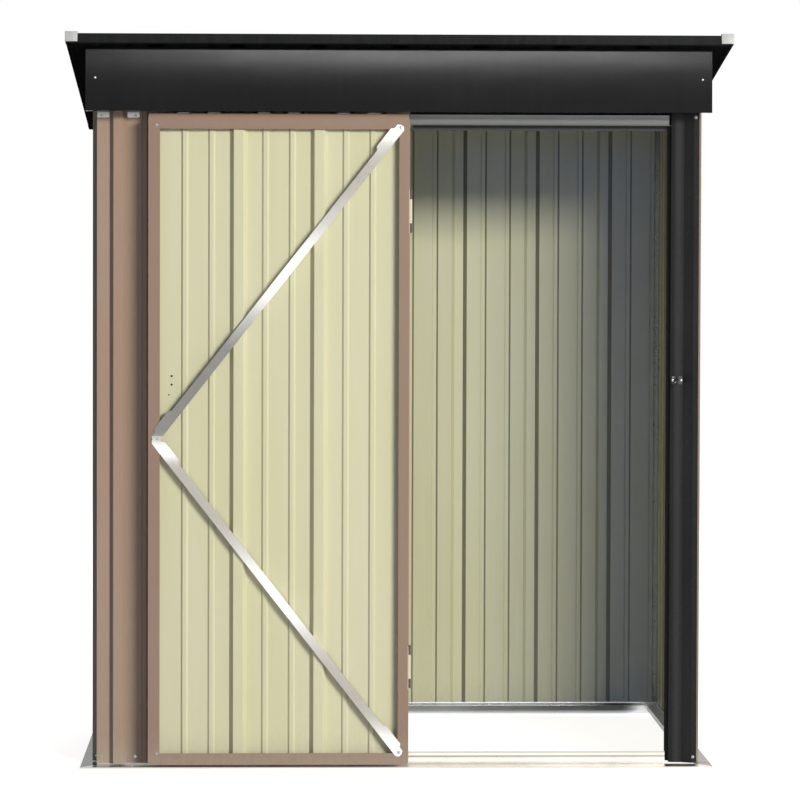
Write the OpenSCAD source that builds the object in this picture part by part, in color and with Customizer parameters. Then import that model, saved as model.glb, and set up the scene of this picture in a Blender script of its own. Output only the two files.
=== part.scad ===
// Garden storage shed of ribbed sheet steel, with a pent roof, a curved front
// fascia and one hinged door. Front faces -Y, up is +Z, and the origin is on
// the ground in the middle of the outline. The door stands open, turned flat
// in front of the left front wall.

/* [Body] */
// Width over the flat outer faces of the side walls
body_w = 1460; // [1430:10:1600]
// Depth over the flat outer faces of the front and back walls
body_d = 790; // [740:10:820]
// Height of the lower edge of the wall sheets above the ground
wall_z = 10; // [8:1:18]

/* [Sheet] */
// Thickness of the ribbed sheets
sheet_t = 0.6; // [0.4:0.1:1]
// Height of the wide ribs above the flats
rib_h = 12; // [8:1:13]
// Width of a wide rib at its foot
rib_w = 41; // [36:1:44]
// Width of a wide rib at its crest
rib_top = 22; // [18:1:25]
// Width of the narrow beads between the ribs
bead_w = 17; // [13:1:19]
// Height of the narrow beads
bead_h = 3; // [2:0.5:4]

/* [Base] */
// How far the ground flange reaches beyond the wall
base_flange = 38; // [28:1:45]
// Height of the ground flange, with an edge turned down to the ground
flange_z = 6; // [4:0.5:8]
// Height of the web that the walls are fixed to
base_h = 37; // [36:1:50]
// Height of the inner ledge
ledge_z = 31; // [29:0.5:32]
// Depth of the inner ledge
ledge_d = 25; // [18:1:32]
// Height of the lip turned down from the inner ledge
ledge_lip = 13; // [8:1:16]
// Thickness of the base, post and rail metal
rail_t = 1; // [0.8:0.1:1.4]
// Radius of the anchor holes in the ground flange
anchor_r = 4; // [3:0.5:5]

/* [Roof] */
// Height of the whole shed
overall_h = 1780; // [1600:5:2000]
// Slope of the roof in degrees, falling to the back
roof_slope = 10.8; // [9:0.2:11.4]
// How far the roof reaches in front of the front wall
roof_front = 100; // [88:1:110]
// How far the roof reaches behind the back wall
roof_back = 50; // [45:1:90]
// How far the roof reaches beyond each side wall
roof_side = 71; // [62:1:85]
// Height of the edge trims
trim_h = 23; // [21:1:32]
// Width of the upper flange of the edge trims
trim_w = 24; // [20:1:30]
// Side of the moulded corner caps
cap_w = 30; // [26:1:36]

/* [Fascia] */
// How far the lower edge of the curved fascia lies below the top of the shed
fascia_drop = 188.5; // [172:0.5:190]
// How far the lower edge stands in front of the wall
fascia_out = 63; // [56:1:68]
// How far the fascia leans back from its lower to its upper edge
fascia_lean = 10; // [6:1:24]
// How far the fascia reaches beyond each side wall
fascia_side = 24; // [18:1:28]
// Thickness of the fascia metal
fascia_t = 1; // [0.8:0.1:1.2]

/* [Door] */
// Width of the door
door_w = 627; // [590:1:660]
// Gap between the closed door and the fascia above it
door_top_gap = 5; // [5:0.2:20]
// Height of the lower edge of the door
door_z = 15.5; // [12:0.5:18]
// Width of the latch stile and of the rails of the door frame
stile_w = 28; // [25:1:34]
// Width of the hinge stile
hinge_stile_w = 24; // [22:1:28]
// Depth of the stiles and rails
stile_d = 22; // [20:0.5:23]
// Height of the folded lip above the top rail
door_lip = 9; // [5:1:12]
// Gap between the closed door and the face of the wall
door_gap = 8; // [7:0.5:9]
// Width of the braces
brace_w = 21; // [18:1:24]
// Depth of the flanges of the braces
brace_d = 6.5; // [4:0.5:6.5]
// Length of the flattened ends of the braces
brace_end = 66; // [50:2:80]

/* [Hinges] */
// Height of each hinge
hinge_h = 104; // [90:2:120]
// Length of the middle knuckle
knuckle_h = 58; // [50:2:66]
// Radius of the knuckles
knuckle_r = 4; // [3.8:0.1:4.3]
// Radius of the hinge pins
pin_r = 2; // [1.6:0.1:2.4]
// Radial play of the pins in the middle knuckles
pin_play = 0.05; // [0.03:0.01:0.08]
// Distance of the hinge axis in front of the wall
hinge_out = 35; // [34:0.5:36]
// Distance of each hinge from the end of the door
hinge_end = 234; // [200:2:280]

/* [Latch] */
// Height of the latch and its keeper as a part of the height of the shed
latch_level = 0.530; // [0.5:0.001:0.56]
// Radius of the slide bolt
bolt_r = 4; // [3.5:0.25:4.5]
// Width of the keeper plate
keeper_w = 27; // [24:1:28]

/* [Hidden] */
$fn = 48;
far = 4000;

// Positions of the walls
wall_x = body_w / 2;
overall_d = roof_front + body_d + roof_back;
front_y = roof_front - overall_d / 2;
back_y = front_y + body_d;
inner_x = wall_x - sheet_t;

// Roof frame: starts at the lower front edge of the front trim, runs down the slope
cap_t = 2;
cap_top = trim_h + 4.5;
cap_low = 2.5;
roof_hw = wall_x + roof_side - cap_t;
roof_y = -overall_d / 2 + cap_t * cos(roof_slope) - cap_low * sin(roof_slope);
roof_z = overall_h - cap_t * sin(roof_slope) - cap_top * cos(roof_slope);
roof_l = (overall_d - (cap_top - cap_low) * sin(roof_slope)) / cos(roof_slope) - 2 * cap_t;
trim_t = 0.8;
trim_low_w = 14;
roof_seat = trim_t;
crest = roof_seat + sheet_t + rib_h;

// Doorway and door
edge_gap = 4.6;
latch_gap = 4;
front_post_w = 66;
jamb_x = wall_x - front_post_w;
latch_edge_x = jamb_x - latch_gap;
hinge_x = latch_edge_x - door_w - edge_gap;
hinge_y = front_y - hinge_out;
door_back = hinge_out - door_gap;
fascia_z = overall_h - fascia_drop;
door_h = fascia_z - door_top_gap - door_z;
latch_z = latch_level * overall_h;
post_flat = 12;
post_slope = 23;
stop_w = 8.5;
stop_back = 25;
post_out = 10;
post_side = 26;
jamb_bevel = [8, 2];
post_inset = 0.8;
lip_gap = 7.5;
hook_w = 6.7;
post_lap = 40;
rail_leg = 30;
corner_leg = 9.5;
top_leg = 9;
header_z = fascia_z - 29.5;
header_h = 38;
header_lip = 12;
panel_z = header_z + 25;
hinge_zs = [door_z + hinge_end, door_z + door_h - hinge_end];
leaf_t = 1.5;
leaf_in = knuckle_r + 1;
leaf_w = 20;
wall_leaf_w = 42;
keeper_x = jamb_x + 2.5;
eye_t = 2.5;

// Distances of the first and last rib from the edges of each sheet
front_margin = 52;
hinge_margin = 124;
corner_margin = 49;
side_margin = 156;
back_margin = 145;
roof_flat = 49.5;
roof_margin = roof_side - cap_t - roof_flat;
door_margin = 22.5;

// Metal strip: a bent line given a thickness to its left
function unit(v) = v / norm(v);
function left_of(a, b) = let (d = unit(b - a)) [-d[1], d[0]];
function bend(p, i, t) =
    i == 0 ? p[0] + t * left_of(p[0], p[1]) :
    i == len(p) - 1 ? p[i] + t * left_of(p[i - 1], p[i]) :
    let (m = left_of(p[i - 1], p[i]) + left_of(p[i], p[i + 1]))
        p[i] + m * (2 * t / (m * m));
function strip(p, t) = concat(p, [for (i = [len(p) - 1:-1:0]) bend(p, i, t)]);

// Ribbed sheet: n + 1 wide ribs between the margins m0 and m1, two beads between each pair,
// and a flat of at least the given width at its far edge
function fold(c, w, top, h) = [[c - w / 2, 0], [c - top / 2, h], [c + top / 2, h], [c + w / 2, 0]];
function pitch(lo, hi, m0, m1, n) = (hi - m1 - lo - m0) / n;
function ribbed(lo, hi, m0, m1, n, flat = 2) =
    let (p = pitch(lo, hi, m0, m1, n))
    concat([[lo, 0]], [
        for (k = [-1:n], j = [0:2])
            let (c = lo + m0 + (k + j / 3) * p, w = j == 0 ? rib_w : bead_w)
            if (c - w / 2 > lo + 2 && c + w / 2 < hi - flat)
                each fold(c, w, j == 0 ? rib_top : bead_w / 2, j == 0 ? rib_h : bead_h)
    ], [[hi, 0]]);

// The same sheet in two pieces that lap on the crest of its middle rib
function left_lap(p) = [for (q = p) if (q[0] < rib_top / 2 + 0.01) q];
function right_lap(p) = concat(
    [[-rib_top / 2, rib_h + sheet_t], [rib_top / 2 + 0.6, rib_h + sheet_t], [rib_w / 2 + 1, 0]],
    [for (q = p) if (q[0] > rib_w / 2 + 2) q]);

module sheet(path, h) linear_extrude(h) polygon(strip(path, sheet_t));

// Roof frame and the slab between two heights over it
module on_roof() translate([0, roof_y, roof_z]) rotate([-roof_slope, 0, 0]) children();
module roof_slab(low, high)
    on_roof() translate([-far / 2, -far / 2, low]) cube([far, far, high - low]);
module under_roof(high = roof_seat)
    intersection() {
        children();
        roof_slab(high - far, high);
    }

// One side of a rectangular ring with mitred ends: the section has x outward from hw
module mitred(hw, hl, low, high, section_in, section_out)
    intersection() {
        translate([hw, 0, 0]) rotate([90, 0, 0])
            linear_extrude(2 * (hl + section_out) + 2, center = true) children();
        translate([0, 0, low]) linear_extrude(high - low) polygon([
            [hw - section_in, section_in - hl], [hw + section_out, -hl - section_out],
            [hw + section_out, hl + section_out], [hw - section_in, hl - section_in]
        ]);
    }

// Plan outline in (x, outward) turned to the front wall and raised
module front_plan(z0, h) translate([0, front_y, z0 + h]) rotate([180, 0, 0]) linear_extrude(h) children();

// Section in (outward, z) run along the front wall from x0 to x1
module front_section(x0, x1)
    translate([x1, front_y, 0]) rotate([90, 0, -90]) linear_extrude(x1 - x0) children();

// Base ring: the flange and the swaged web are one strip and the inner ledge grows out of it
module base_section() {
    web = -sheet_t - rail_t;
    inner = web - ledge_d;
    swage = (flange_z + base_h) / 2 + 2;
    outer = strip([
        [base_flange - rail_t, 0], [base_flange - rail_t, flange_z - rail_t],
        [web, flange_z - rail_t], [web, swage - 3], [web - 1.5, swage], [web, swage + 3],
        [web, base_h]
    ], -rail_t);
    ledge = strip([[web, ledge_z], [inner, ledge_z], [inner, ledge_z - ledge_lip]], rail_t);
    polygon(concat(
        [for (i = [0:5]) outer[i]], [for (i = [5:-1:0]) ledge[i]], [for (i = [6:13]) outer[i]]
    ));
}
module base_rail(turn, hw, hl)
    translate([0, (front_y + back_y) / 2, 0]) rotate([0, 0, turn])
        mitred(hw, hl, -1, base_h + 1, ledge_d + 10, base_flange) base_section();
module anchor_holes(y)
    for (x = [-0.44, 0.44])
        translate([x * body_w, y, 0]) cylinder(r = anchor_r, h = flange_z + 1);
module base_rail_front() color("gainsboro") difference() {
    base_rail(-90, body_d / 2, wall_x);
    anchor_holes(front_y - base_flange / 2);
    translate([jamb_x - stop_w - 1, front_y + 0.1, flange_z]) cube([wall_x, ledge_d + 10, base_h]);
}
module base_rail_back() color("gainsboro") difference() {
    base_rail(90, body_d / 2, wall_x);
    anchor_holes(back_y + base_flange / 2);
}
module base_rail_left() color("gainsboro") base_rail(180, wall_x, body_d / 2);
module base_rail_right() color("gainsboro") base_rail(0, wall_x, body_d / 2);

// Walls
module front_wall() color([0.64, 0.56, 0.5]) under_roof()
    translate([0, sheet_t, 0]) front_plan(wall_z, overall_h)
        polygon(strip(ribbed(-inner_x, hinge_x, front_margin - sheet_t, hinge_margin, 3,
            wall_leaf_w + 2), sheet_t));
module front_top_panel() color([0.64, 0.56, 0.5]) under_roof()
    translate([hinge_x, front_y, panel_z]) cube([jamb_x - hinge_x, sheet_t, overall_h]);
module left_wall() color([0.64, 0.56, 0.5]) under_roof()
    translate([-inner_x, 0, wall_z]) rotate([0, 0, 90])
        sheet(ribbed(front_y, back_y, corner_margin, side_margin, 3), overall_h);
module right_wall() color([0.64, 0.56, 0.5]) under_roof()
    translate([inner_x, 0, wall_z]) rotate([0, 0, -90])
        sheet(ribbed(-back_y, -front_y, side_margin, corner_margin, 3), overall_h);
back_path = ribbed(-inner_x, inner_x, back_margin - sheet_t, back_margin - sheet_t, 6);
module back_wall_left() color([0.64, 0.56, 0.5]) under_roof()
    translate([0, back_y - sheet_t, wall_z]) sheet(left_lap(back_path), overall_h);
module back_wall_right() color([0.64, 0.56, 0.5]) under_roof()
    translate([0, back_y - sheet_t, wall_z]) sheet(right_lap(back_path), overall_h);

// Corner posts, folded angles inside the walls with their wide leg on the side wall
module corner_post(sx, y, sy) color("gainsboro") under_roof(-top_leg)
    translate([sx * inner_x, y - sy * sheet_t, base_h])
        linear_extrude(overall_h) {
            translate([sx > 0 ? -corner_leg : 0, sy > 0 ? -rail_t : 0]) square([corner_leg, rail_t]);
            translate([sx > 0 ? -rail_t : 0, sy > 0 ? -rail_leg : 0]) square([rail_t, rail_leg]);
        }
module post_front_left() corner_post(-1, front_y, -1);
module post_back_left() corner_post(-1, back_y, 1);
module post_back_right() corner_post(1, back_y, 1);

// Door posts: the hinge post stands behind the edge of the front wall
post_x = hinge_x - post_inset;
module hinge_post() color([0.8, 0.78, 0.66])
    under_roof(-top_leg) front_plan(base_h, overall_h) polygon(strip([
        [post_x - hook_w, -sheet_t - rail_leg], [post_x, -sheet_t - rail_leg],
        [post_x, -sheet_t], [hinge_x - post_lap, -sheet_t]
    ], rail_t));
module latch_post() color([0.2, 0.2, 0.21])
    under_roof(-top_leg) front_plan(wall_z, overall_h) polygon(strip([
        [jamb_x - stop_w, -stop_back], [jamb_x + sheet_t, -stop_back],
        [jamb_x + sheet_t, -sheet_t - jamb_bevel[1]], [jamb_x + sheet_t + jamb_bevel[0], -sheet_t],
        [wall_x - post_flat - post_slope, -sheet_t], [wall_x - post_flat, post_out - sheet_t],
        [wall_x, post_out - sheet_t], [wall_x, -post_side]
    ], sheet_t));
module door_header() color("silver") {
    path = [[-sheet_t, header_z + header_h], [-sheet_t, header_z], [-stop_back + 1, header_z]];
    front_section(hinge_x, jamb_x - 6) polygon(strip(path, -rail_t));
    front_section(hinge_x + lip_gap, jamb_x - stop_w)
        polygon(strip([path[1], path[2], path[2] - [0, header_lip]], -rail_t));
    translate([jamb_x - 6, front_y + sheet_t + rail_t, header_z])
        cube([6, stop_back - 3 - sheet_t - rail_t, rail_t]);
}

// Top rails: angles with one leg on the wall and one under the roof sheet
module top_angle(x0, x1, y0, y1, wx0, wx1, wy0, wy1) color("gainsboro") {
    intersection() {
        translate([x0, y0, 0]) cube([x1 - x0, y1 - y0, far]);
        roof_slab(roof_seat - rail_t, roof_seat);
    }
    intersection() {
        translate([wx0, wy0, 0]) cube([wx1 - wx0, wy1 - wy0, far]);
        roof_slab(-top_leg, roof_seat);
    }
}
module top_rail_left()
    top_angle(-inner_x, rail_leg - inner_x, front_y + sheet_t, back_y - sheet_t,
              -inner_x, rail_t - inner_x, front_y + sheet_t, back_y - sheet_t);
module top_rail_right()
    top_angle(inner_x - rail_leg, inner_x, front_y + sheet_t, back_y - sheet_t,
              inner_x - rail_t, inner_x, front_y + sheet_t, back_y - sheet_t);
rail_x = inner_x - rail_leg;
module top_rail_front()
    top_angle(-rail_x, rail_x, front_y + sheet_t, front_y + sheet_t + rail_leg,
              -rail_x, rail_x, front_y + sheet_t, front_y + sheet_t + rail_t);
module top_rail_back()
    top_angle(-rail_x, rail_x, back_y - sheet_t - rail_leg, back_y - sheet_t,
              -rail_x, rail_x, back_y - sheet_t - rail_t, back_y - sheet_t);
mid_y = (front_y + back_y) / 2;
module roof_purlin()
    top_angle(-rail_x, rail_x, mid_y, mid_y + rail_leg, -rail_x, rail_x, mid_y, mid_y + rail_t);

// Roof sheets
roof_path = ribbed(1 - roof_hw, roof_hw - 1, roof_margin - 1, roof_margin - 1, 8);
module roof_sheet(path) color([0.22, 0.22, 0.23]) on_roof()
    translate([0, roof_l - trim_t, roof_seat]) rotate([90, 0, 0]) sheet(path, roof_l - 2 * trim_t);
module roof_sheet_left() roof_sheet(left_lap(roof_path));
module roof_sheet_right() roof_sheet(right_lap(roof_path));

// Edge trims, a folded channel with a lip down onto the rib crests
module trim_section() polygon(strip([
    [-trim_w, crest], [-trim_w, trim_h - trim_t], [-trim_t, trim_h - trim_t],
    [-trim_t, trim_t], [-trim_low_w, trim_t]
], trim_t));
module trim(turn, hw, hl) color([0.17, 0.17, 0.18]) on_roof()
    translate([0, roof_l / 2, 0]) rotate([0, 0, turn])
        mitred(hw, hl, -1, trim_h + 1, trim_w + trim_t + 2, 0) trim_section();
module half(side) intersection() {
    children();
    translate([side > 0 ? 0 : -far, -far / 2, 0]) cube([far, far, far]);
}
module roof_trim_front_left() half(-1) trim(-90, roof_l / 2, roof_hw);
module roof_trim_front_right() half(1) trim(-90, roof_l / 2, roof_hw);
module roof_trim_back_left() half(-1) trim(90, roof_l / 2, roof_hw);
module roof_trim_back_right() half(1) trim(90, roof_l / 2, roof_hw);
module roof_trim_left() trim(180, roof_hw, roof_l / 2);
module roof_trim_right() trim(0, roof_hw, roof_l / 2);

// Moulded caps over the corners of the trims, hollow towards the trims
module roof_cap(sx, back) color([0.75, 0.75, 0.75]) on_roof()
    translate([sx * (roof_hw + cap_t), back ? roof_l + cap_t : -cap_t, 0])
        mirror([sx > 0 ? 1 : 0, 0, 0]) mirror([0, back ? 1 : 0, 0]) difference() {
            translate([0, 0, cap_low]) cube([cap_w, cap_w, cap_top - cap_low]);
            translate([cap_t, cap_t, cap_low - 1]) cube([cap_w, cap_w, trim_h - cap_low + 1]);
        }
module roof_cap_front_left() roof_cap(-1, false);
module roof_cap_front_right() roof_cap(1, false);
module roof_cap_back_left() roof_cap(-1, true);
module roof_cap_back_right() roof_cap(1, true);

// Curved fascia: an arc of sheet, upright at its lower edge, that meets the roof sheet
fascia_w = body_w + 2 * fascia_side;
fascia_in = fascia_out - fascia_lean;
fascia_top = roof_z + (roof_y - front_y + fascia_in) * tan(roof_slope) + roof_seat;
fascia_rise = fascia_top - fascia_z;
fascia_foot = 16;
fascia_r = (fascia_rise * fascia_rise + fascia_lean * fascia_lean) / (2 * fascia_lean);
module fascia_roll(r, w)
    translate([0, front_y - fascia_out + fascia_r, fascia_z]) rotate([0, 90, 0])
        cylinder(r = r, h = w, center = true, $fn = 720);
module fascia() color([0.16, 0.16, 0.17]) {
    under_roof() intersection() {
        difference() {
            fascia_roll(fascia_r, fascia_w);
            fascia_roll(fascia_r - fascia_t, fascia_w + 2);
        }
        translate([-fascia_w, front_y - fascia_out - 1, fascia_z])
            cube([2 * fascia_w, fascia_out - 10, far]);
    }
    translate([-fascia_w / 2, front_y - fascia_out, fascia_z]) cube([fascia_w, fascia_foot, fascia_t]);
}
module fascia_end(sx) color([0.16, 0.16, 0.17]) under_roof() intersection() {
    fascia_roll(fascia_r - fascia_t, fascia_w);
    translate([sx > 0 ? fascia_w / 2 - 1.5 : -fascia_w / 2, front_y - fascia_out - 1, fascia_z + fascia_t])
        cube([1.5, fascia_out + 6, far]);
}
module fascia_end_left() fascia_end(-1);
module fascia_end_right() fascia_end(1);

// Door frame of reference, door open: x runs from the hinge axis to the latch
// edge, y from the inner face to the outer face of the door, which looks at the wall
module on_door() translate([hinge_x, hinge_y - door_back, door_z]) children();
module door_plan(h) linear_extrude(h) mirror([1, 0]) children();

far_u = edge_gap + door_w;
frame_h = door_h - door_lip;
back_w = 14;
skin_v = stile_d - rail_t;
module door_panel() color([0.86, 0.84, 0.72]) on_door() translate([0, skin_v, rail_t])
    linear_extrude(frame_h - 2 * rail_t) mirror([1, 0]) mirror([0, 1])
        polygon(strip(ribbed(edge_gap + rail_t, far_u - rail_t,
                             door_margin - rail_t, door_margin - rail_t, 3), sheet_t));
function channel(flange, depth, back) = strip([
    [back, depth - rail_t], [rail_t, depth - rail_t], [rail_t, rail_t], [flange, rail_t]
], -rail_t);
module stile(w) linear_extrude(frame_h) polygon(channel(w, stile_d, back_w));
module door_stile_hinge() color([0.63, 0.53, 0.46]) on_door()
    translate([-edge_gap, 0, 0]) mirror([1, 0, 0]) stile(hinge_stile_w);
module door_stile_latch() color([0.63, 0.53, 0.46]) on_door()
    translate([-far_u, 0, 0]) stile(stile_w);
rail_l = door_w - stile_w - hinge_stile_w;
module door_rail() translate([-edge_gap - hinge_stile_w, 0, 0]) rotate([90, 0, -90])
    linear_extrude(rail_l) rotate(90) polygon(channel(stile_w, stile_d, back_w));
module door_rail_bottom() color([0.63, 0.53, 0.46]) on_door() door_rail();
module door_rail_top() color([0.63, 0.53, 0.46]) on_door() translate([0, 0, frame_h]) {
    mirror([0, 0, 1]) door_rail();
    translate([-far_u, skin_v, 0]) cube([door_w, rail_t, door_lip]);
}

// Braces: a strap with its flanges folded back, flattened over both ends
mid_z = door_h / 2;
module brace(a, b, lift) {
    run = norm(b - a);
    turn = atan2(b[1] - a[1], b[0] - a[0]);
    h = brace_w / 2;
    rotate([90, 0, 0]) translate([a[0], a[1], lift]) rotate(turn) {
        linear_extrude(rail_t) polygon([
            [-9, -h / 2], [-9, h / 3], [-4, h], [run + 4, h], [run + 9, h / 3],
            [run + 9, -h / 2], [run + 3, -h], [-3, -h]
        ]);
        for (s = [8, run - 8 - brace_end])
            linear_extrude(rail_t) polygon([
                [s, h], [s + 5, h + brace_d], [s + brace_end - 5, h + brace_d], [s + brace_end, h]
            ]);
        for (s = [-h, h - rail_t])
            translate([brace_end + 10, s, -brace_d])
                cube([run - 2 * brace_end - 20, rail_t, brace_d + rail_t / 2]);
    }
}
brace_latch_x = -far_u + stile_w / 2 + 5;
brace_inset = 23;
brace_top = 26.5;
brace_low = 30;
brace_hinge_x = -edge_gap - brace_inset;
module door_brace_upper() color("gainsboro") on_door()
    brace([brace_latch_x, mid_z + 5], [brace_hinge_x, frame_h - brace_top], rail_t);
module door_brace_lower() color("gainsboro") on_door()
    brace([brace_latch_x, mid_z - 5], [brace_hinge_x, brace_low], 0);

// Slide bolt on the outer face: a saddle on the flat, a saddle on the stile and a rod
stile_u = far_u - back_w / 2;
flat_u = far_u - door_margin - rib_w / 2 - 13;
bolt_v = stile_d + 2.5 + bolt_r;
rod_l = 85;
grip_u = 32;
grip_l = 14;
module saddle(u, v0, w)
    difference() {
        translate([-u - w / 2, v0, -14]) cube([w, bolt_v + bolt_r + 1.5 - v0, 28]);
        for (z = [-15, bolt_r + 1.5])
            translate([-u - w, v0 + 1.5, z]) cube([2 * w, 2 * bolt_v, 13.5 - bolt_r]);
    }
module door_latch() color("gainsboro") on_door() translate([0, 0, latch_z - door_z]) {
    saddle(flat_u, skin_v, 18);
    saddle(stile_u, stile_d, back_w - 2);
    translate([-far_u + 2, bolt_v, 0]) rotate([0, 90, 0]) cylinder(r = bolt_r, h = rod_l);
    translate([-far_u + grip_u, bolt_v, 0]) rotate([-90, 0, 0]) cylinder(r = bolt_r * 0.8, h = grip_l);
}

// Hinges: the frame leaf carries the end knuckles and the pin, the door leaf the middle one
module knuckle(z0, h) translate([hinge_x, hinge_y, z0]) cylinder(r = knuckle_r, h = h);
leg_x = hinge_x - edge_gap;
end_h = (hinge_h - knuckle_h) / 2;
module frame_leaf(z) {
    z0 = z - hinge_h / 2;
    for (s = [0, hinge_h - end_h + 0.5]) {
        knuckle(z0 + s, end_h - 0.5);
        translate([leg_x, hinge_y, z0 + s]) cube([leaf_t, hinge_out, end_h - 0.5]);
    }
    translate([leg_x, hinge_y + leaf_in, z0]) cube([leaf_t, hinge_out - leaf_in, hinge_h]);
    translate([hinge_x - wall_leaf_w, front_y - leaf_t, z0])
        cube([leg_x + leaf_t - hinge_x + wall_leaf_w, leaf_t, hinge_h]);
    translate([hinge_x, hinge_y, z0]) cylinder(r = pin_r, h = hinge_h);
}
module hinge_leaves_frame() color("silver") for (z = hinge_zs) frame_leaf(z);
module door_leaf(z) difference() {
    union() {
        knuckle(z - knuckle_h / 2, knuckle_h);
        translate([leg_x, hinge_y - leaf_in, z - knuckle_h / 2]) cube([leaf_t, leaf_in, knuckle_h]);
        translate([leg_x, hinge_y - leaf_in - leaf_w, z - hinge_h / 2]) cube([leaf_t, leaf_w, hinge_h]);
    }
    translate([hinge_x, hinge_y, z - hinge_h]) cylinder(r = pin_r + pin_play, h = 2 * hinge_h);
}
module hinge_leaves_door() color("silver") for (z = hinge_zs) door_leaf(z);

// Keeper on the latch post: a waisted plate with an upright eye for the bolt
eye_y = hinge_y - door_back + bolt_v;
eye_out = door_gap + bolt_v;
module latch_keeper() color("silver") translate([keeper_x + keeper_w / 2, front_y, latch_z]) {
    w = keeper_w / 2;
    half_plate = [
        [2, 6], [4.5, 10], [w - 2, 10], [w, 7], [w, -7], [w - 2, -10], [4.5, -10], [2, -6]
    ];
    rotate([90, 0, 0]) linear_extrude(1.5) polygon(concat(
        half_plate, [for (k = [7:-1:0]) [-half_plate[k][0], half_plate[k][1]]]));
    difference() {
        translate([-eye_t / 2, -eye_out - bolt_r - 3, -7.5]) cube([eye_t, eye_out + bolt_r + 3, 15]);
        translate([-eye_t, -eye_out, 0]) rotate([0, 90, 0]) cylinder(r = bolt_r + 0.8, h = 2 * eye_t);
    }
}

base_rail_front();
base_rail_back();
base_rail_left();
base_rail_right();
front_wall();
front_top_panel();
left_wall();
right_wall();
back_wall_left();
back_wall_right();
post_front_left();
post_back_left();
post_back_right();
hinge_post();
latch_post();
door_header();
top_rail_front();
top_rail_back();
top_rail_left();
top_rail_right();
roof_purlin();
roof_sheet_left();
roof_sheet_right();
roof_trim_front_left();
roof_trim_front_right();
roof_trim_back_left();
roof_trim_back_right();
roof_trim_left();
roof_trim_right();
roof_cap_front_left();
roof_cap_front_right();
roof_cap_back_left();
roof_cap_back_right();
fascia();
fascia_end_left();
fascia_end_right();
door_panel();
door_stile_hinge();
door_stile_latch();
door_rail_top();
door_rail_bottom();
door_brace_upper();
door_brace_lower();
door_latch();
hinge_leaves_frame();
hinge_leaves_door();
latch_keeper();
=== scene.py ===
# %% [markdown]
# # A small steel garden shed
#
# This lesson dresses a shed of thin ribbed sheet steel. The CAD model already
# holds every sheet, rail, post and hinge in its true shape and place, so this
# file adds what the CAD model leaves out: the camera and the lights, the paint
# and the zinc, the screws and rivets, the clips under the fascia and the
# rounded roof corners. Everything is in metres, the front faces -Y and the
# ground is at z = 0.

# %% Load the shed
import math
import random

import bmesh
import bpy
from mathutils import Matrix, Vector


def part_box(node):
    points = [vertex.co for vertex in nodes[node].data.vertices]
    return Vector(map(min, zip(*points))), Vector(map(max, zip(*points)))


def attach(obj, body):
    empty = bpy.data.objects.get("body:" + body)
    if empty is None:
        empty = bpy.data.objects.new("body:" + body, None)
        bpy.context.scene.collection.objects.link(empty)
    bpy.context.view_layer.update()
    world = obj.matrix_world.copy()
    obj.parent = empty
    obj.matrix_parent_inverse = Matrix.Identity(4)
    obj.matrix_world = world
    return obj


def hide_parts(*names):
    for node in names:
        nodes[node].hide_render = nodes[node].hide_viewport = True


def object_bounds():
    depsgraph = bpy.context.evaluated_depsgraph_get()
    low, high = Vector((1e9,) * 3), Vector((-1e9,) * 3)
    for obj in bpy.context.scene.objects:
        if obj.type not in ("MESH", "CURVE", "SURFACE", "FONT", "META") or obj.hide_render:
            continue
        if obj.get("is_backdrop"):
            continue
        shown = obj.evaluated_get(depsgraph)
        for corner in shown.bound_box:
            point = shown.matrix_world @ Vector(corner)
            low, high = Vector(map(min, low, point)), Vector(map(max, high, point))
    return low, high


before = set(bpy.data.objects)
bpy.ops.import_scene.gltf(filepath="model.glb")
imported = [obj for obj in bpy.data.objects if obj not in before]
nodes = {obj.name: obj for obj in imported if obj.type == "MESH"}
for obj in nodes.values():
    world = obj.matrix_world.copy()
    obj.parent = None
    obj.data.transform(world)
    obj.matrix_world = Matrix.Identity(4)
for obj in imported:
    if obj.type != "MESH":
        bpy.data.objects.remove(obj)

cad_low, cad_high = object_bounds()
FRONT, BACK, SIDE = -0.370, 0.420, 0.730
scene = bpy.context.scene
scene.view_settings.view_transform = "Standard"
print("CAD box", [round(v, 3) for v in cad_low], [round(v, 3) for v in cad_high], len(nodes), "nodes")

# %% [markdown]
# ## The camera
#
# The picture of the shed was taken with a long lens from the front, a little
# left of the middle and above half height. A long lens keeps upright lines
# nearly upright. We get the same frame by turning the camera about half of the
# way towards the middle of the picture and sliding the lens (shift) for the
# rest, so that the shift stays small and every other view stays well framed.

# %% Camera
PICTURE = 800
SENSOR = 36
SEES_TO = 500
FOCAL = 3092.7
EYE = Vector((-0.2942, -7.8718, 1.3061))
YAW, PITCH, ROLL = (math.radians(v) for v in (1.3565, 1.4219, 0.1506))
SHIFT_X, SHIFT_Y = 0.0625, -0.1161

camera = bpy.data.objects.new("camera", bpy.data.cameras.new("camera"))
scene.collection.objects.link(camera)
scene.camera = camera
camera.data.sensor_width = SENSOR
camera.data.lens = FOCAL / PICTURE * SENSOR
camera.data.shift_x, camera.data.shift_y = SHIFT_X, SHIFT_Y
camera.data.clip_end = SEES_TO
turn = (Matrix.Rotation(-YAW, 4, "Z") @ Matrix.Rotation(math.pi / 2 - PITCH, 4, "X")
        @ Matrix.Rotation(ROLL, 4, "Z"))
camera.matrix_world = Matrix.Translation(EYE) @ turn
print("lens", round(camera.data.lens, 1), "mm, shift", SHIFT_X, SHIFT_Y)

# %% [markdown]
# ## Shader maths as plain sums
#
# A material is a net of small nodes. Written one node at a time it is long and
# hard to read, so we wrap a socket in a class that knows plus, minus, times and
# so on. `1 - mask` then adds the Math node by itself. One method, `node`, makes
# every other kind of node from its settings and its inputs.

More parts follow.
